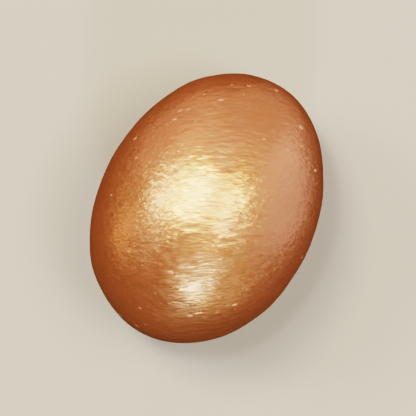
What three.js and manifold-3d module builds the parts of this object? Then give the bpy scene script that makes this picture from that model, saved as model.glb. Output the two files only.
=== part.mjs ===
// A small chocolate easter egg with a satin gold and copper lustre coat, lying
// on its side. It is one solid piece.
//
// Units are millimetres, with +Z up. +X runs along the egg to its narrower end.
// The origin is on the surface that the egg rests on, under the middle of its
// length and width.

import * as THREE from "three";
import { mergeVertices } from "three/addons/utils/BufferGeometryUtils.js";
import Module from "manifold-3d";

// Driving dimensions
const EGG_LENGTH = 32;
const EGG_WIDTH = 24.6;
const WIDEST_SHIFT = 0.5; // from mid length to the widest section, at the blunt end
const REST_DEPTH = 0.3; // what the flat spot underneath takes off the egg

// Swells that tumbling in the coating pan leaves on the shell
const SWELL_COUNT = 9;
const SWELL_BEND = 0.0045; // curvature, in 1/mm, that each adds at its crest
const SWELL_LONGEST = 16; // from crest to crest
const SWELL_SHORTEST = 8;
const GOLDEN_ANGLE = Math.PI * (3 - Math.sqrt(5));

// Fineness of the mesh: each edge of a 20-sided solid is cut into FINENESS + 1
const FINENESS = 15;
const MERGE_DISTANCE = 1e-4;

// Side of the square block that cuts the flat spot
const BLOCK_SIDE = 2 * EGG_LENGTH;

// Finish
const LUSTRE_COLOUR = 0xc98a52;
const LUSTRE_METALNESS = 0.85;
const LUSTRE_ROUGHNESS = 0.36;

const wasm = await Module();
wasm.setup();

// The point of an even egg in the direction of a unit vector of the sphere.
// Its width follows B sqrt((L^2 - 4x^2) / (L^2 + 8wx + 4w^2)), where w is the shift.
function eggPoint(direction) {
  const x = (EGG_LENGTH / 2) * direction.x;
  const taper = Math.sqrt(
    EGG_LENGTH ** 2 + 8 * WIDEST_SHIFT * x + 4 * WIDEST_SHIFT ** 2,
  );
  const reach = ((EGG_WIDTH / 2) * EGG_LENGTH) / taper;
  return new THREE.Vector3(x, reach * direction.y, reach * direction.z);
}

// One swell's direction, height, number of radians for each millimetre, and
// phase. The directions are spread over the sphere by the golden angle.
function swell(index) {
  const up = 1 - (2 * index + 1) / SWELL_COUNT;
  const flat = Math.sqrt(1 - up ** 2);
  const around = index * GOLDEN_ANGLE;
  const share = index / (SWELL_COUNT - 1);
  const length = SWELL_LONGEST * (SWELL_SHORTEST / SWELL_LONGEST) ** share;
  const radians = (2 * Math.PI) / length;
  return {
    direction: new THREE.Vector3(
      flat * Math.cos(around),
      flat * Math.sin(around),
      up,
    ),
    height: SWELL_BEND / radians ** 2,
    radians,
    phase: around,
  };
}

const SWELLS = Array.from({ length: SWELL_COUNT }, (_, index) => swell(index));

// How far the shell stands out at a point of the even egg.
function swellAt(point) {
  return SWELLS.reduce(
    (sum, { direction, height, radians, phase }) =>
      sum + height * Math.sin(radians * direction.dot(point) + phase),
    0,
  );
}

// A geometry with nothing but positions, its shared vertices merged.
function welded(geometry) {
  geometry.deleteAttribute("normal");
  geometry.deleteAttribute("uv");
  return mergeVertices(geometry, MERGE_DISTANCE);
}

// The whole egg, before its flat spot is cut.
function shellGeometry() {
  const geometry = welded(new THREE.IcosahedronGeometry(1, FINENESS));
  const position = geometry.attributes.position;
  const direction = new THREE.Vector3();
  for (let i = 0; i < position.count; i++) {
    direction.fromBufferAttribute(position, i).normalize();
    const point = eggPoint(direction);
    point.addScaledVector(direction, swellAt(point));
    position.setXYZ(i, point.x, point.y, point.z);
  }
  return geometry;
}

// The block below the egg whose top face cuts the flat spot it rests on.
function blockBelow(box) {
  const block = new THREE.BoxGeometry(BLOCK_SIDE, BLOCK_SIDE, BLOCK_SIDE);
  block.translate(0, 0, box.min.z + REST_DEPTH - BLOCK_SIDE / 2);
  return welded(block);
}

// A welded geometry as a solid that can be cut.
function solidOf(geometry) {
  return new wasm.Manifold(
    new wasm.Mesh({
      numProp: 3,
      vertProperties: geometry.attributes.position.array,
      triVerts: new Uint32Array(geometry.index.array),
    }),
  );
}

// A cut solid as a geometry again.
function geometryOf(solid) {
  const { vertProperties, triVerts } = solid.getMesh();
  const geometry = new THREE.BufferGeometry();
  geometry.setAttribute(
    "position",
    new THREE.BufferAttribute(new Float32Array(vertProperties), 3),
  );
  geometry.setIndex(new THREE.BufferAttribute(new Uint32Array(triVerts), 1));
  return geometry;
}

// The egg with its flat spot, moved so that the origin is under its middle.
function eggGeometry() {
  const shell = shellGeometry();
  shell.computeBoundingBox();
  const cut = solidOf(shell).subtract(solidOf(blockBelow(shell.boundingBox)));
  const geometry = geometryOf(cut);
  geometry.computeBoundingBox();
  const { min, max } = geometry.boundingBox;
  geometry.translate(-(min.x + max.x) / 2, -(min.y + max.y) / 2, -min.z);
  geometry.computeVertexNormals();
  return geometry;
}

const lustre = new THREE.MeshStandardMaterial({
  color: LUSTRE_COLOUR,
  metalness: LUSTRE_METALNESS,
  roughness: LUSTRE_ROUGHNESS,
});

const chocolateEgg = new THREE.Mesh(eggGeometry(), lustre);
chocolateEgg.name = "chocolate_egg";

const easterEgg = new THREE.Group();
easterEgg.add(chocolateEgg);

export default easterEgg;
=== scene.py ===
"""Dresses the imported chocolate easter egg: its lustre coat, light and camera.

The egg is a solid sweet that was tumbled in a coating pan and dusted with gold
and copper lustre. Sizes are in metres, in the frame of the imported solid: +X
runs along the egg to its narrower end, and the egg rests on the plane z = 0.
"""

import logging
import math
from abc import ABC, abstractmethod
from dataclasses import dataclass
from enum import Enum
from typing import Union

import bpy
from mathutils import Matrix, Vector


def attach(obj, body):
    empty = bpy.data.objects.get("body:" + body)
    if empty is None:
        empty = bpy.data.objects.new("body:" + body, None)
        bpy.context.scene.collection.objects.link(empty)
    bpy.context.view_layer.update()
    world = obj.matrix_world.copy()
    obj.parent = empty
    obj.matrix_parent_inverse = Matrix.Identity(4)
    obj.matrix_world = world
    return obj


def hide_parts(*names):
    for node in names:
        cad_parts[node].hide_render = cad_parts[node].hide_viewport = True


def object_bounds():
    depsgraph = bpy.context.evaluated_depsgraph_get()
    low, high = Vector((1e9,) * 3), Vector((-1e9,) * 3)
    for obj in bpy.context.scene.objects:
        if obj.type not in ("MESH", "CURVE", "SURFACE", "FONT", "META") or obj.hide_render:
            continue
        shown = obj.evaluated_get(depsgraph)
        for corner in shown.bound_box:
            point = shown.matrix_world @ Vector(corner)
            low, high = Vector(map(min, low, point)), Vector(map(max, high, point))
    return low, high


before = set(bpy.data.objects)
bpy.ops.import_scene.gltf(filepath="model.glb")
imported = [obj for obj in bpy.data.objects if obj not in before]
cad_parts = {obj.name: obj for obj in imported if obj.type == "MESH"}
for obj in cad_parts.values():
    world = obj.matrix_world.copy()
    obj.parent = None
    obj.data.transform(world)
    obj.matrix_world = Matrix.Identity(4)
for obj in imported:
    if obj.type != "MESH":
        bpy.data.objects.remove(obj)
CAD_LOW, CAD_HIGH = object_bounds()

log = logging.getLogger("easter_egg")

MM = 0.001
GOLDEN_ANGLE = math.pi * (3 - math.sqrt(5))
EGG_NODE = "chocolate_egg"
ROOT_BODY = "root"
NOISE_MIDDLE = 0.5
CUBE_SIDE = 2.0
# The tangent of this times a cube's coordinate spreads the cube's grid evenly over a ball.
EVEN_SPREAD = math.pi / 4
# A screen's light is a share of its level up to the knee, and a power of it above.
SCREEN_FULL = 255
SCREEN_KNEE = 0.04045
SCREEN_SLOPE = 12.92
SCREEN_OFFSET = 0.055
SCREEN_POWER = 2.4

Colour = tuple[float, float, float]
Value = Union[float, int, tuple, bpy.types.NodeSocket, bpy.types.Material]


class Kind(Enum):
    """The kinds of value that a node group takes or gives."""

    FLOAT = "NodeSocketFloat"
    INTEGER = "NodeSocketInt"
    GEOMETRY = "NodeSocketGeometry"
    MATERIAL = "NodeSocketMaterial"


class Mark(Enum):
    """The small marks that stand on the coat."""

    FLAKE = "lustre_flakes"
    GRAIN = "lustre_grains"


def channel_light(level: int) -> float:
    """Turns one channel of a screen's colour into linear light.

    Args:
        level: The channel's level, from 0 to 255.

    Returns:
        Its share of light, from 0 to 1.
    """
    share = level / SCREEN_FULL
    if share <= SCREEN_KNEE:
        return share / SCREEN_SLOPE
    return ((share + SCREEN_OFFSET) / (1 + SCREEN_OFFSET)) ** SCREEN_POWER


def linear(red: int, green: int, blue: int) -> Colour:
    """Returns the linear light of a screen's colour, whose channels go from 0 to 255."""
    return channel_light(red), channel_light(green), channel_light(blue)


@dataclass
class Tree:
    """Adds nodes to a node tree and joins them.

    Attributes:
        inside: Blender's own node tree.
    """

    inside: bpy.types.NodeTree

    @classmethod
    def emptied(cls, inside: bpy.types.NodeTree) -> "Tree":
        """Returns a tree whose old nodes are cleared away."""
        inside.nodes.clear()
        return cls(inside)

    def join(self, socket: bpy.types.NodeSocket, value: Value) -> None:
        """Feeds an input socket.

        Args:
            socket: The input.
            value: Another node's output, or a constant.
        """
        if isinstance(value, bpy.types.NodeSocket):
            self.inside.links.new(value, socket)
        elif socket.type == "RGBA":
            socket.default_value = (*value, 1.0)
        else:
            socket.default_value = value

    def add(
        self, kind: str, values: dict[Union[str, int], Value], **options: object
    ) -> bpy.types.Node:
        """Adds a node.

        Args:
            kind: Blender's name for the node.
            values: What its inputs take, by name or place.
            options: The node's own settings.

        Returns:
            The node.
        """
        node = self.inside.nodes.new(kind)
        for name, option in options.items():
            setattr(node, name, option)
        for name, value in values.items():
            self.join(node.inputs[name], value)
        return node

    def math(self, operation: str, *values: Value) -> bpy.types.NodeSocket:
        """Returns the outcome of an operation on numbers."""
        node = self.add("ShaderNodeMath", dict(enumerate(values)), operation=operation)
        return node.outputs[0]

    def vector(self, operation: str, *values: Value) -> bpy.types.NodeSocket:
        """Returns the outcome of an operation on vectors."""
        node = self.add("ShaderNodeVectorMath", dict(enumerate(values)), operation=operation)
        return node.outputs["Value" if operation == "DOT_PRODUCT" else "Vector"]

    def scaled(self, vector: Value, factor: Value) -> bpy.types.NodeSocket:
        """Returns a vector times a number."""
        node = self.add("ShaderNodeVectorMath", {0: vector, "Scale": factor}, operation="SCALE")
        return node.outputs["Vector"]

    def turned(self, vector: Value, angle: float) -> bpy.types.NodeSocket:
        """Returns a vector turned about the vertical."""
        values = {"Vector": vector, "Angle": angle}
        return self.add("ShaderNodeVectorRotate", values, rotation_type="Z_AXIS").outputs[0]

    def parts(self, vector: Value) -> list[bpy.types.NodeSocket]:
        """Returns a vector's three numbers."""
        return list(self.add("ShaderNodeSeparateXYZ", {0: vector}).outputs)

    def whole(self, x: Value, y: Value, z: Value) -> bpy.types.NodeSocket:
        """Returns the vector of three numbers."""
        return self.add("ShaderNodeCombineXYZ", {0: x, 1: y, 2: z}).outputs[0]

    def place(self) -> bpy.types.NodeSocket:
        """Returns where a point of the surface is, in metres."""
        return self.add("ShaderNodeTexCoord", {}).outputs["Object"]

    def noise(self, place: Value, detail: float = 2.0) -> bpy.types.NodeSocket:
        """Returns smooth noise whose lumps are about one unit of the place apart."""
        values = {"Vector": place, "Scale": 1.0, "Detail": detail}
        return self.add("ShaderNodeTexNoise", values).outputs[0]

    def swing(self, pattern: Value) -> bpy.types.NodeSocket:
        """Returns how far a noise's number is above its middle."""
        return self.math("SUBTRACT", pattern, NOISE_MIDDLE)

    def swings(self, pattern: Value) -> bpy.types.NodeSocket:
        """Returns how far a noise's three numbers are above their middle."""
        return self.vector("SUBTRACT", pattern, (NOISE_MIDDLE, NOISE_MIDDLE, NOISE_MIDDLE))

    def step(self, value: Value, low: float, high: float) -> bpy.types.NodeSocket:
        """Returns a smooth step from 0 at low to 1 at high."""
        values = {"Value": value, "From Min": low, "From Max": high}
        return self.add("ShaderNodeMapRange", values, interpolation_type="SMOOTHSTEP").outputs[0]

    def span(self, share: Value, low: Value, high: Value) -> bpy.types.NodeSocket:
        """Returns the number that lies at a share, from 0 to 1, of the way from low to high."""
        values = {"Value": share, "To Min": low, "To Max": high}
        return self.add("ShaderNodeMapRange", values).outputs[0]

    def blend(self, share: Value, first: Value, second: Value) -> bpy.types.NodeSocket:
        """Blends two colours.

        Args:
            share: How far from the first to the second, from 0 to 1.
            first: The colour at 0.
            second: The colour at 1.

        Returns:
            The colour between them.
        """
        node = self.add("ShaderNodeMix", {}, data_type="RGBA")
        inputs = {socket.identifier: socket for socket in node.inputs}
        self.join(inputs["Factor_Float"], share)
        self.join(inputs["A_Color"], first)
        self.join(inputs["B_Color"], second)
        return next(socket for socket in node.outputs if socket.identifier == "Result_Color")


@dataclass
class GrowingTree(Tree):
    """A tree of Geometry Nodes with named inputs, which grows one mesh.

    Attributes:
        given: Each named input and its value.
        entry: The node that hands the inputs in.
    """

    given: dict[str, Value]
    entry: bpy.types.Node

    @classmethod
    def named(cls, name: str, given: dict[str, Value]) -> "GrowingTree":
        """Starts a tree.

        Args:
            name: The tree's name.
            given: Each named input and its value.

        Returns:
            The tree, with its inputs and its one output made.
        """
        group = bpy.data.node_groups.new(name, "GeometryNodeTree")
        sockets = group.interface
        sockets.new_socket("Surface", in_out="INPUT", socket_type=Kind.GEOMETRY.value)
        sockets.new_socket("Grown", in_out="OUTPUT", socket_type=Kind.GEOMETRY.value)
        for label, value in given.items():
            sockets.new_socket(label, in_out="INPUT", socket_type=cls.kind_of(value).value)
        return cls(group, given, group.nodes.new("NodeGroupInput"))

    @staticmethod
    def kind_of(value: Value) -> Kind:
        """Tells which kind of socket a value needs.

        Args:
            value: The value.

        Returns:
            The kind.
        """
        if isinstance(value, bpy.types.Material):
            return Kind.MATERIAL
        return Kind.INTEGER if isinstance(value, int) else Kind.FLOAT

    def taken(self, label: str) -> bpy.types.NodeSocket:
        """Returns a named input of the tree, as a socket to read."""
        return self.entry.outputs[label]

    def place(self) -> bpy.types.NodeSocket:
        """Returns where a point of the geometry is, in metres."""
        return self.add("GeometryNodeInputPosition", {}).outputs[0]

    def put(self, geometry: Value, position: Value) -> bpy.types.NodeSocket:
        """Returns the geometry with each point at a new position."""
        values = {"Geometry": geometry, "Position": position}
        return self.add("GeometryNodeSetPosition", values).outputs[0]

    def moved(self, geometry: Value, offset: Value) -> bpy.types.NodeSocket:
        """Returns the geometry with each point moved by an offset."""
        values = {"Geometry": geometry, "Offset": offset}
        return self.add("GeometryNodeSetPosition", values).outputs[0]

    def corners(self, geometry: Value) -> tuple[bpy.types.NodeSocket, bpy.types.NodeSocket]:
        """Returns the lowest and the highest corner of the geometry's box."""
        box = self.add("GeometryNodeBoundBox", {"Geometry": geometry}).outputs
        return box["Min"], box["Max"]

    def end(self, geometry: Value) -> None:
        """Ends the tree: instances made real, smooth shading, and the material set.

        Args:
            geometry: What the tree has made.
        """
        real = self.add("GeometryNodeRealizeInstances", {"Geometry": geometry}).outputs[0]
        smooth = self.add("GeometryNodeSetShadeSmooth", {"Geometry": real}).outputs[0]
        values = {"Geometry": smooth, "Material": self.taken("Finish")}
        dressed = self.add("GeometryNodeSetMaterial", values).outputs[0]
        self.add("NodeGroupOutput", {"Grown": dressed})

    def grow(self, name: str, surface: bpy.types.Mesh) -> bpy.types.Object:
        """Runs the tree on a surface and keeps the outcome as a plain mesh.

        Args:
            name: The new piece's name.
            surface: What the tree is handed as its surface.

        Returns:
            The piece, at the origin, with no modifier left.
        """
        start = bpy.data.objects.new(name + "_start", surface)
        bpy.context.scene.collection.objects.link(start)
        modifier = start.modifiers.new("grow", "NODES")
        modifier.node_group = self.inside
        for item in self.inside.interface.items_tree:
            if item.in_out == "INPUT" and item.name in self.given:
                modifier[item.identifier] = self.given[item.name]
        graph = bpy.context.evaluated_depsgraph_get()
        mesh = bpy.data.meshes.new_from_object(start.evaluated_get(graph))
        start.modifiers.remove(modifier)
        bpy.data.objects.remove(start)
        mesh.name = name
        piece = bpy.data.objects.new(name, mesh)
        bpy.context.scene.collection.objects.link(piece)
        return piece


class Finish(ABC):
    """How a surface takes the light.

    Attributes:
        name: What its material is called.
    """

    name: str

    def material(self) -> bpy.types.Material:
        """Makes the finish.

        Returns:
            Its Blender material.
        """
        material = bpy.data.materials.new(self.name)
        material.use_nodes = True
        tree = Tree.emptied(material.node_tree)
        shader = tree.add("ShaderNodeBsdfPrincipled", self.inputs(tree))
        tree.add("ShaderNodeOutputMaterial", {"Surface": shader.outputs[0]})
        return material

    @abstractmethod
    def inputs(self, tree: Tree) -> dict[str, Value]:
        """Gives what the shader takes.

        Args:
            tree: The material's tree.

        Returns:
            The shader's inputs, by name.
        """


@dataclass(frozen=True)
class Streaks:
    """The fine wipe marks that tumbling leaves in the lustre, all much the same way round.

    Attributes:
        turn: The way they run, from +X about the vertical.
        length: How long one is.
        width: How wide one is.
        bend_length: How far apart their bends are.
        bend: How far a bend takes them aside.
    """

    turn: float = math.radians(-62)
    length: float = 2.1 * MM
    width: float = 0.7 * MM
    bend_length: float = 5 * MM
    bend: float = 0.7 * MM

    def coordinates(self, tree: Tree) -> bpy.types.NodeSocket:
        """Lays the streaks' own coordinates over the egg.

        Args:
            tree: The tree to add the nodes to.

        Returns:
            A vector whose first number counts streak lengths along them, and
            whose other two count streak widths across them.
        """
        place = tree.place()
        values = {"Vector": place, "Scale": 1 / self.bend_length, "Detail": 1.0}
        wander = tree.add("ShaderNodeTexNoise", values).outputs[1]
        bent = tree.vector("ADD", place, tree.scaled(tree.swings(wander), self.bend))
        along = tree.turned(bent, -self.turn)
        return tree.vector("MULTIPLY", along, (1 / self.length, 1 / self.width, 1 / self.width))


@dataclass(frozen=True)
class LustreFinish(Finish):
    """Gold mica wiped over copper-brown cocoa glaze, in streaks and mottles.

    Attributes:
        gold, copper: The colours of the mica and of the glaze.
        pearl, pearl_ior: The tint and the strength of what both reflect.
        gold_metal, copper_metal: How metallic each is.
        gold_roughness, copper_roughness: How rough each is.
        coat, coat_roughness: The share and the roughness of the clear glaze on top.
        mottle, mottle_contrast: How far apart the mottles are, and how strong.
        streak_contrast: How strongly the mica gathers in the streaks.
        mica_share: The mica's share of the coat, on the whole.
        flake_tilt: How far a mica flake leans.
        streak_height: How high a streak seems to stand.
        streaks: The streaks.
        flakes: The mica flakes, drawn out along the streaks.
    """

    name: str = "satin_lustre"
    gold: Colour = linear(208, 124, 76)
    copper: Colour = linear(150, 62, 42)
    pearl: Colour = (1.0, 0.75, 0.39)
    pearl_ior: float = 4.9
    gold_metal: float = 0.65
    copper_metal: float = 0.1
    gold_roughness: float = 0.3
    copper_roughness: float = 0.43
    coat: float = 0.42
    coat_roughness: float = 0.31
    mottle: float = 4.5 * MM
    mottle_contrast: float = 0.4
    streak_contrast: float = 1.6
    mica_share: float = 0.45
    flake_tilt: float = 0.17
    streak_height: float = 0.07 * MM
    streaks: Streaks = Streaks()
    flakes: Streaks = Streaks(length=1.1 * MM, width=0.14 * MM)

    def inputs(self, tree: Tree) -> dict[str, Value]:
        """Gives what the shader takes.

        Args:
            tree: The material's tree.

        Returns:
            The shader's inputs, by name.
        """
        streak = tree.noise(self.streaks.coordinates(tree))
        mica = self.mica(tree, streak)
        return {
            "Base Color": tree.blend(mica, self.copper, self.gold),
            "Metallic": tree.span(mica, self.copper_metal, self.gold_metal),
            "Roughness": tree.span(mica, self.copper_roughness, self.gold_roughness),
            "IOR": self.pearl_ior,
            "Specular Tint": self.pearl,
            "Coat Weight": self.coat,
            "Coat Roughness": self.coat_roughness,
            "Normal": self.grain(tree, streak),
        }

    def mica(self, tree: Tree, streak: Value) -> bpy.types.NodeSocket:
        """Spreads the mica, in mottles and with more of it along the streaks.

        Args:
            tree: The material's tree.
            streak: The streaks' pattern.

        Returns:
            The share of gold mica in the coat, from 0 to 1.
        """
        mottle = tree.noise(tree.scaled(tree.place(), 1 / self.mottle), detail=3.0)
        share: Value = self.mica_share
        patterns = ((streak, self.streak_contrast), (mottle, self.mottle_contrast))
        for pattern, contrast in patterns:
            share = tree.math("MULTIPLY_ADD", tree.swing(pattern), contrast, share)
        return tree.math("MINIMUM", tree.math("MAXIMUM", share, 0.0), 1.0)

    def grain(self, tree: Tree, streak: Value) -> bpy.types.NodeSocket:
        """Tilts the surface a little at each mica flake and each streak.

        Args:
            tree: The material's tree.
            streak: The streaks' pattern.

        Returns:
            The tilted normal.
        """
        values = {"Vector": self.flakes.coordinates(tree), "Scale": 1.0}
        flake = tree.add("ShaderNodeTexVoronoi", values).outputs["Color"]
        tilt = tree.scaled(tree.swings(flake), self.flake_tilt)
        facing = tree.add("ShaderNodeNewGeometry", {}).outputs["Normal"]
        values = {
            "Height": streak,
            "Distance": self.streak_height,
            "Strength": 1.0,
            "Normal": tree.vector("NORMALIZE", tree.vector("ADD", facing, tilt)),
        }
        return tree.add("ShaderNodeBump", values).outputs[0]


@dataclass(frozen=True)
class FlakeFinish(Finish):
    """Bright clumps of lustre that caught on the coat.

    Attributes:
        pale, rosy: The two colours that the clumps lie between, both paler than the coat: partly
            the clumps' own tone, partly a painted glint so that they look bright all round.
        metal: How metallic they are.
        roughness, roughness_spread: How rough they are, and how much that varies.
        patch: How far apart the patches of either colour are.
        rosy_below, pale_above: Where between the patches' depths each colour is full.
    """

    name: str = "lustre_clumps_painted_glint"
    # Painted glint: both tones are paler than the coat so the clumps look lit from every side;
    # part of that paleness is their own colour.
    pale: Colour = linear(220, 176, 146)
    rosy: Colour = linear(204, 138, 108)
    metal: float = 0.3
    roughness: float = 0.44
    roughness_spread: float = 0.08
    patch: float = 2 * MM
    rosy_below: float = 0.35
    pale_above: float = 0.65

    def inputs(self, tree: Tree) -> dict[str, Value]:
        """Gives what the shader takes.

        Args:
            tree: The material's tree.

        Returns:
            The shader's inputs, by name.
        """
        tone = tree.noise(tree.scaled(tree.place(), 1 / self.patch))
        paleness = tree.step(tone, self.rosy_below, self.pale_above)
        swing = tree.swing(tone)
        return {
            "Base Color": tree.blend(paleness, self.rosy, self.pale),
            "Metallic": self.metal,
            "Roughness": tree.math("MULTIPLY_ADD", swing, self.roughness_spread, self.roughness),
        }


@dataclass(frozen=True)
class FloorFinish(Finish):
    """Matt off-white board.

    Attributes:
        colour: Its colour, in linear light.
        roughness: How rough it is.
    """

    name: str = "pale_board"
    colour: Colour = (0.40, 0.39, 0.375)
    roughness: float = 0.9

    def inputs(self, tree: Tree) -> dict[str, Value]:
        """Gives what the shader takes.

        Args:
            tree: The material's tree, to which the board adds nothing.

        Returns:
            The shader's inputs, by name.
        """
        return {
            "Base Color": self.colour,
            "Roughness": self.roughness,
            "Specular IOR Level": 0.0,
        }


@dataclass
class EggShell:
    """The egg from end to end: its even form, low swells, fine relief and flat spot.

    Attributes:
        length, width: The even egg's size.
        widest_shift: How far the widest section is from mid length, towards the blunt end.
        rest_depth: What the flat spot underneath takes off the egg.
        swell_count: How many swells tumbling has left.
        swell_bend: The curvature, in 1/m, that each adds at its crest.
        swell_longest, swell_shortest: From crest to crest, first and last.
        grid: How many points there are along each edge of the cube that is wrapped.
        lump_length, lump_height: How far apart the soft lumps are, and how high.
        peel_length, peel_height: The same for the pan's orange peel.
        ripple_height: How high the wiped ripples are.
        finish: The coat.
    """

    length: float = 32 * MM
    width: float = 24.6 * MM
    widest_shift: float = 0.5 * MM
    rest_depth: float = 0.3 * MM
    swell_count: int = 9
    swell_bend: float = 0.0045 / MM
    swell_longest: float = 16 * MM
    swell_shortest: float = 8 * MM
    grid: int = 129
    lump_length: float = 5.5 * MM
    lump_height: float = 0.28 * MM
    peel_length: float = 1.9 * MM
    peel_height: float = 0.05 * MM
    ripple_height: float = 0.03 * MM
    finish: LustreFinish = LustreFinish()

    def build(self) -> bpy.types.Object:
        """Grows the egg by Geometry Nodes.

        Returns:
            The egg, in place of the plain solid and riding on its body.
        """
        given = {
            "Length": self.length,
            "Width": self.width,
            "Widest Shift": self.widest_shift,
            "Swell Bend": self.swell_bend,
            "Lump Height": self.lump_height,
            "Peel Height": self.peel_height,
            "Ripple Height": self.ripple_height,
            "Rest Depth": self.rest_depth,
            "Grid": self.grid,
            "Finish": self.finish.material(),
        }
        tree = GrowingTree.named("egg_form", given)
        values = {"Size": (CUBE_SIDE, CUBE_SIDE, CUBE_SIDE)}
        values.update({f"Vertices {axis}": tree.taken("Grid") for axis in "XYZ"})
        cube = tree.add("GeometryNodeMeshCube", values).outputs[0]
        shell = tree.put(cube, self.form(tree))
        rippled = tree.moved(shell, self.relief(tree))
        tree.end(self.settled(tree, rippled))
        piece = tree.grow("egg_shell", bpy.data.meshes.new("egg_start"))
        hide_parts(EGG_NODE)
        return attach(piece, ROOT_BODY)

    def form(self, tree: GrowingTree) -> bpy.types.NodeSocket:
        """Wraps the cube into the smooth, swelled egg.

        A point of the cube gives a direction from the egg's middle, spread evenly.
        With L the length, W the width and w the shift of the widest section, the even
        egg at x along it is as wide as W sqrt((L^2 - 4 x^2) / (L^2 + 8 w x + 4 w^2)).

        Args:
            tree: The tree to add the nodes to.

        Returns:
            Where each point of the cube goes.
        """
        spread = tree.vector("TANGENT", tree.scaled(tree.place(), EVEN_SPREAD))
        direction = tree.vector("NORMALIZE", spread)
        along, across, up = tree.parts(direction)
        length = tree.taken("Length")
        shift = tree.taken("Widest Shift")
        x = tree.math("MULTIPLY", tree.math("MULTIPLY", length, 0.5), along)
        doubled = tree.math("MULTIPLY", shift, 2.0)
        offset = tree.math("ADD", tree.math("MULTIPLY", x, 4.0), doubled)
        tapered = tree.math("MULTIPLY_ADD", doubled, offset, tree.math("POWER", length, 2.0))
        half = tree.math("MULTIPLY", tree.math("MULTIPLY", tree.taken("Width"), 0.5), length)
        reach = tree.math("DIVIDE", half, tree.math("SQRT", tapered))
        y = tree.math("MULTIPLY", reach, across)
        z = tree.math("MULTIPLY", reach, up)
        point = tree.whole(x, y, z)
        return tree.vector("ADD", point, tree.scaled(direction, self.swell(tree, point)))

    def swell(self, tree: GrowingTree, point: Value) -> bpy.types.NodeSocket:
        """Adds up the low swells of the coat, whose directions the golden angle spreads.

        Args:
            tree: The tree to add the nodes to.
            point: The point of the even egg.

        Returns:
            How far the shell stands out there.
        """
        total: Value = 0.0
        for index in range(self.swell_count):
            up = 1 - (2 * index + 1) / self.swell_count
            flat = math.sqrt(1 - up**2)
            around = index * GOLDEN_ANGLE
            direction = (flat * math.cos(around), flat * math.sin(around), up)
            share = index / (self.swell_count - 1)
            length = self.swell_longest * (self.swell_shortest / self.swell_longest) ** share
            radians = math.tau / length
            reach = tree.vector("DOT_PRODUCT", point, direction)
            wave = tree.math("SINE", tree.math("MULTIPLY_ADD", reach, radians, around))
            total = tree.math("MULTIPLY_ADD", wave, 1 / radians**2, total)
        return tree.math("MULTIPLY", total, tree.taken("Swell Bend"))

    def relief(self, tree: GrowingTree) -> bpy.types.NodeSocket:
        """Adds up the soft lumps, the pan's orange peel and the wiped ripples.

        Args:
            tree: The tree to add the nodes to.

        Returns:
            How they move each point.
        """
        place = tree.place()
        lump = tree.noise(tree.scaled(place, 1 / self.lump_length), detail=0.0)
        peel = tree.noise(tree.scaled(place, 1 / self.peel_length), detail=1.0)
        ripple = tree.noise(self.finish.streaks.coordinates(tree), detail=1.0)
        patterns = ((lump, "Lump Height"), (peel, "Peel Height"), (ripple, "Ripple Height"))
        height: Value = 0.0
        for pattern, label in patterns:
            height = tree.math("MULTIPLY_ADD", tree.swing(pattern), tree.taken(label), height)
        normal = tree.add("GeometryNodeInputNormal", {}).outputs[0]
        return tree.scaled(normal, height)

    def settled(self, tree: GrowingTree, shell: Value) -> bpy.types.NodeSocket:
        """Flattens the underside and stands the egg over the middle of the frame.

        Args:
            tree: The tree to add the nodes to.
            shell: The egg without its flat spot.

        Returns:
            The egg at rest.
        """
        lowest, _ = tree.corners(shell)
        level = tree.math("ADD", tree.parts(lowest)[2], tree.taken("Rest Depth"))
        x, y, z = tree.parts(tree.place())
        flattened = tree.put(shell, tree.whole(x, y, tree.math("MAXIMUM", z, level)))
        low, high = tree.corners(flattened)
        shift = tree.scaled(tree.vector("ADD", low, high), -0.5)
        shift_x, shift_y, _ = tree.parts(shift)
        rise = tree.math("MULTIPLY", tree.parts(low)[2], -1.0)
        return tree.moved(flattened, tree.whole(shift_x, shift_y, rise))


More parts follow.
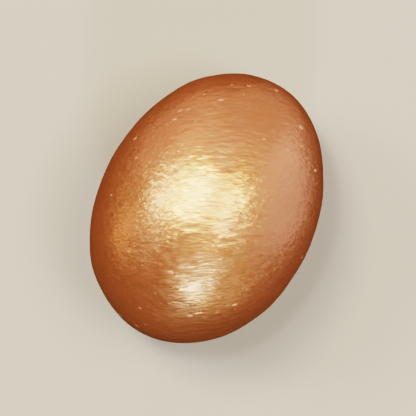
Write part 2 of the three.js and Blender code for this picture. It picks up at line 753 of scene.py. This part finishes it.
@dataclass
class LustreMarks:
    """Small lumps of lustre, scattered over the egg, drawn out along the streaks and partly sunk.

    Attributes:
        mark: Which marks they are.
        density: How many there are on a square metre.
        smallest, largest: Half the width of the smallest and of the largest.
        flatness: A mark's height, as a share of its width.
        seed: Settles where they fall and how large each is.
        fineness: How finely a mark is faceted, from 1 for 20 faces.
        rarity: How rare large ones are, from 1 for as many of each size.
        stretch: A mark's length, as a share of its width.
        sunk: How deep its middle lies, as a share of half its height.
        underside: The height below which there are none.
        streaks: The streaks that they follow.
        finish: Their finish.
    """

    mark: Mark
    density: float
    smallest: float
    largest: float
    flatness: float
    seed: int
    fineness: int
    rarity: float = 1.8
    stretch: float = 2.0
    sunk: float = 0.6
    underside: float = 1.0 * MM
    streaks: Streaks = Streaks()
    finish: FlakeFinish = FlakeFinish()

    def build(self, shell: bpy.types.Object) -> bpy.types.Object:
        """Scatters the marks.

        Args:
            shell: The egg that they lie on.

        Returns:
            All of them as one piece, riding on the egg's body.
        """
        given = {
            "Density": self.density,
            "Smallest": self.smallest,
            "Largest": self.largest,
            "Rarity": self.rarity,
            "Flatness": self.flatness,
            "Stretch": self.stretch,
            "Sunk": self.sunk,
            "Underside": self.underside,
            "Fineness": self.fineness,
            "Seed": self.seed,
            "Finish": self.finish.material(),
        }
        tree = GrowingTree.named(self.mark.value + "_scatter", given)
        points = self.points(tree)
        values = {
            "Points": points.outputs["Points"],
            "Instance": self.lump(tree),
            "Rotation": self.turned(tree, points.outputs["Rotation"]),
            "Scale": self.size(tree),
        }
        tree.end(tree.add("GeometryNodeInstanceOnPoints", values).outputs[0])
        piece = tree.grow(self.mark.value, shell.data)
        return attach(piece, ROOT_BODY)

    def points(self, tree: GrowingTree) -> bpy.types.Node:
        """Scatters points over the egg, above its underside.

        Args:
            tree: The tree to add the nodes to.

        Returns:
            The node that gives the points, each with the way its surface faces.
        """
        height = tree.parts(tree.place())[2]
        values = {
            "Mesh": tree.taken("Surface"),
            "Selection": tree.math("GREATER_THAN", height, tree.taken("Underside")),
            "Density": tree.taken("Density"),
            "Seed": tree.taken("Seed"),
        }
        return tree.add("GeometryNodeDistributePointsOnFaces", values)

    def lump(self, tree: GrowingTree) -> bpy.types.NodeSocket:
        """Makes one lump of unit size, sunk below its point.

        Args:
            tree: The tree to add the nodes to.

        Returns:
            The lump.
        """
        values = {"Radius": 1.0, "Subdivisions": tree.taken("Fineness")}
        lump = tree.add("GeometryNodeMeshIcoSphere", values).outputs[0]
        depth = tree.math("MULTIPLY", tree.taken("Sunk"), -1.0)
        return tree.moved(lump, tree.whole(0.0, 0.0, depth))

    def turned(self, tree: GrowingTree, facing: Value) -> bpy.types.NodeSocket:
        """Turns each lump along the streaks.

        Args:
            tree: The tree to add the nodes to.
            facing: The way that the surface faces at the lump.

        Returns:
            The lump's rotation.
        """
        along = (math.cos(self.streaks.turn), math.sin(self.streaks.turn), 0.0)
        values = {"Rotation": facing, "Vector": along}
        options = {"axis": "X", "pivot_axis": "Z"}
        return tree.add("FunctionNodeAlignRotationToVector", values, **options).outputs[0]

    def size(self, tree: GrowingTree) -> bpy.types.NodeSocket:
        """Draws each lump's size: most are small, and few large.

        Args:
            tree: The tree to add the nodes to.

        Returns:
            Half its length, half its width and half its height.
        """
        values = {"Seed": tree.taken("Seed")}
        drawn = tree.add("FunctionNodeRandomValue", values, data_type="FLOAT").outputs[1]
        share = tree.math("POWER", drawn, tree.taken("Rarity"))
        wide = tree.span(share, tree.taken("Smallest"), tree.taken("Largest"))
        long = tree.math("MULTIPLY", wide, tree.taken("Stretch"))
        return tree.whole(long, wide, tree.math("MULTIPLY", wide, tree.taken("Flatness")))


@dataclass(frozen=True)
class Picture:
    """How the picture lies over the frame, looking straight down.

    Attributes:
        roll: How far its rightward direction is turned from +X.
        share: The egg's length, as a share of the picture's width.
        distance: How far the camera is above the egg's middle.
        sensor: How wide the camera's sensor is.
    """

    roll: float = math.radians(-62)
    share: float = 0.68
    distance: float = 0.5
    sensor: float = 36 * MM

    def right(self) -> Vector:
        """Returns the picture's rightward direction in the frame."""
        return Vector((math.cos(self.roll), math.sin(self.roll), 0.0))

    def upward(self) -> Vector:
        """Returns the picture's upward direction in the frame."""
        return Vector((-math.sin(self.roll), math.cos(self.roll), 0.0))

    def camera(self, low: Vector, high: Vector) -> None:
        """Sets the camera above the object's middle.

        Args:
            low: The object's lowest corner.
            high: The object's highest corner.
        """
        data = bpy.data.cameras.new("camera")
        across = (high.x - low.x) / self.share
        data.sensor_width = self.sensor / MM
        data.lens = self.distance * self.sensor / across / MM
        camera = bpy.data.objects.new("camera", data)
        camera.location = (low + high) / 2 + Vector((0.0, 0.0, self.distance))
        camera.rotation_euler = (0.0, 0.0, self.roll)
        bpy.context.scene.collection.objects.link(camera)
        bpy.context.scene.camera = camera


@dataclass(frozen=True)
class Lamp:
    """One soft light, far enough away to reach all of the floor alike.

    Attributes:
        name: Its name.
        rightward, upward: How far it leans from overhead in the picture, in degrees.
        breadth: How broad it looks from the egg, in degrees.
        strength: How much light it gives, in watts on a square metre.
        colour: Its colour.
    """

    name: str
    rightward: float
    upward: float
    breadth: float
    strength: float
    colour: Colour

    def lean(self) -> float:
        """Returns how far the light stands from overhead, in radians."""
        return math.radians(math.hypot(self.rightward, self.upward))

    def level_light(self) -> float:
        """Returns how strongly it lights a level floor."""
        return self.strength * math.cos(self.lean())

    def build(self, picture: Picture) -> None:
        """Hangs the light.

        Args:
            picture: The picture that its angles are measured in.
        """
        data = bpy.data.lights.new(self.name, "SUN")
        data.energy = self.strength
        data.angle = math.radians(self.breadth)
        data.color = self.colour
        heading = picture.right() * self.rightward + picture.upward() * self.upward
        heading.normalize()
        height = Vector((0.0, 0.0, math.cos(self.lean())))
        towards = heading * math.sin(self.lean()) + height
        lamp = bpy.data.objects.new(self.name, data)
        lamp.rotation_mode = "QUATERNION"
        lamp.rotation_quaternion = towards.to_track_quat("Z", "Y")
        bpy.context.scene.collection.objects.link(lamp)


@dataclass
class Stage:
    """The floor, the lights and the surroundings.

    Attributes:
        picture: The picture that the lights are set by.
        board: The floor's finish.
        floor_reach: How far the floor goes each way.
        glow_low, glow_high: The faint light from near the floor and from overhead.
        low_until, high_from: The heights, from -1 to 1, where either glow is full.
    """

    picture: Picture
    board: FloorFinish = FloorFinish()
    floor_reach: float = 15.0
    glow_low: Colour = (0.008, 0.005, 0.003)
    glow_high: Colour = (0.002, 0.0015, 0.001)
    low_until: float = -0.3
    high_from: float = 0.8

    def lamps(self) -> list[Lamp]:
        """Lists the lights.

        Returns:
            The lights: name, angles rightward and upward, breadth, strength and colour.
        """
        return [
            Lamp("key", -16.0, 19.5, 15.0, 1.98, (1.0, 0.86, 0.51)),
            Lamp("key_left", -43.0, 20.0, 20.0, 1.02, (1.0, 0.96, 0.86)),
            Lamp("key_right", 19.5, 2.5, 26.0, 1.78, (1.0, 0.82, 0.50)),
            Lamp("key_glint", -9.0, 10.0, 6.0, 0.86, (1.0, 0.90, 0.80)),
            Lamp("arm_right", 23.0, -9.0, 14.0, 0.46, (0.93, 0.92, 1.0)),
            Lamp("bridge", 31.0, -61.0, 45.0, 0.25, (1.0, 0.82, 0.54)),
            Lamp("window", 1.5, -58.0, 11.0, 1.12, (0.84, 0.95, 1.0)),
            Lamp("window_high", 5.0, -50.0, 9.0, 0.10, (0.84, 0.95, 1.0)),
            Lamp("low_left", -50.0, -7.0, 20.0, 0.10, (0.93, 0.89, 1.0)),
            Lamp("left", -84.0, 2.4, 19.0, 0.21, (1.0, 0.57, 0.38)),
            Lamp("card", 82.0, -0.4, 69.0, 0.82, (0.94, 0.80, 1.0)),
            Lamp("crown", -24.0, 58.0, 25.0, 0.17, (1.0, 0.82, 0.78)),
            Lamp("top", 5.0, 42.0, 30.0, 0.19, (0.98, 0.76, 1.0)),
            Lamp("sky_right", 56.0, 65.0, 80.0, 0.68, (1.0, 0.72, 0.74)),
            Lamp("sky_left", -44.0, 75.0, 60.0, 0.58, (1.0, 0.62, 0.62)),
        ]

    def build(self) -> None:
        """Makes all of the stage."""
        self.floor()
        for lamp in self.lamps():
            lamp.build(self.picture)
        self.surroundings()
        view = bpy.context.scene.view_settings
        view.view_transform = "Filmic"
        view.look = "High Contrast"

    def floor(self) -> None:
        """Lays the floor, which the egg's gloss doesn't pick up."""
        mesh = bpy.data.meshes.new("floor")
        reach = self.floor_reach
        corners = [(-reach, -reach, 0), (reach, -reach, 0), (reach, reach, 0), (-reach, reach, 0)]
        mesh.from_pydata(corners, [], [(0, 1, 2, 3)])
        mesh.materials.append(self.board.material())
        floor = bpy.data.objects.new("floor", mesh)
        floor.visible_glossy = False
        bpy.context.scene.collection.objects.link(floor)

    def floor_light(self) -> Colour:
        """Works out the light that the floor sends back, which the backdrop matches.

        Returns:
            Its three shares of light.
        """
        lamps = self.lamps()
        return tuple(
            shade / math.pi * sum(lamp.colour[channel] * lamp.level_light() for lamp in lamps)
            for channel, shade in enumerate(self.board.colour)
        )

    def surroundings(self) -> None:
        """Sets what the gloss and the shadows pick up from all round."""
        world = bpy.data.worlds.new("studio")
        bpy.context.scene.world = world
        world.use_nodes = True
        tree = Tree.emptied(world.node_tree)
        direction = tree.add("ShaderNodeTexCoord", {}).outputs["Generated"]
        height = tree.parts(direction)[2]
        rays = tree.add("ShaderNodeLightPath", {}).outputs
        rise = tree.step(height, self.low_until, self.high_from)
        glow = tree.blend(rise, self.glow_low, self.glow_high)
        light = tree.blend(rays["Is Camera Ray"], glow, self.floor_light())
        background = tree.add("ShaderNodeBackground", {"Color": light, "Strength": 1.0})
        tree.add("ShaderNodeOutputWorld", {"Surface": background.outputs[0]})


def main() -> None:
    """Builds the egg, what lies on it, and the stage."""
    logging.basicConfig(level=logging.INFO, format="%(message)s")
    picture = Picture()
    picture.camera(CAD_LOW, CAD_HIGH)
    shell = EggShell().build()
    flakes = LustreMarks(
        mark=Mark.FLAKE,
        density=40000.0,
        smallest=0.08 * MM,
        largest=0.24 * MM,
        flatness=0.25,
        seed=5,
        fineness=2,
    ).build(shell)
    grains = LustreMarks(
        mark=Mark.GRAIN,
        density=250000.0,
        smallest=0.03 * MM,
        largest=0.07 * MM,
        flatness=0.45,
        seed=11,
        fineness=1,
    ).build(shell)
    for piece in (shell, flakes, grains):
        log.info("%s: %d faces", piece.name, len(piece.data.polygons))
    Stage(picture).build()


if __name__ == "__main__":
    main()
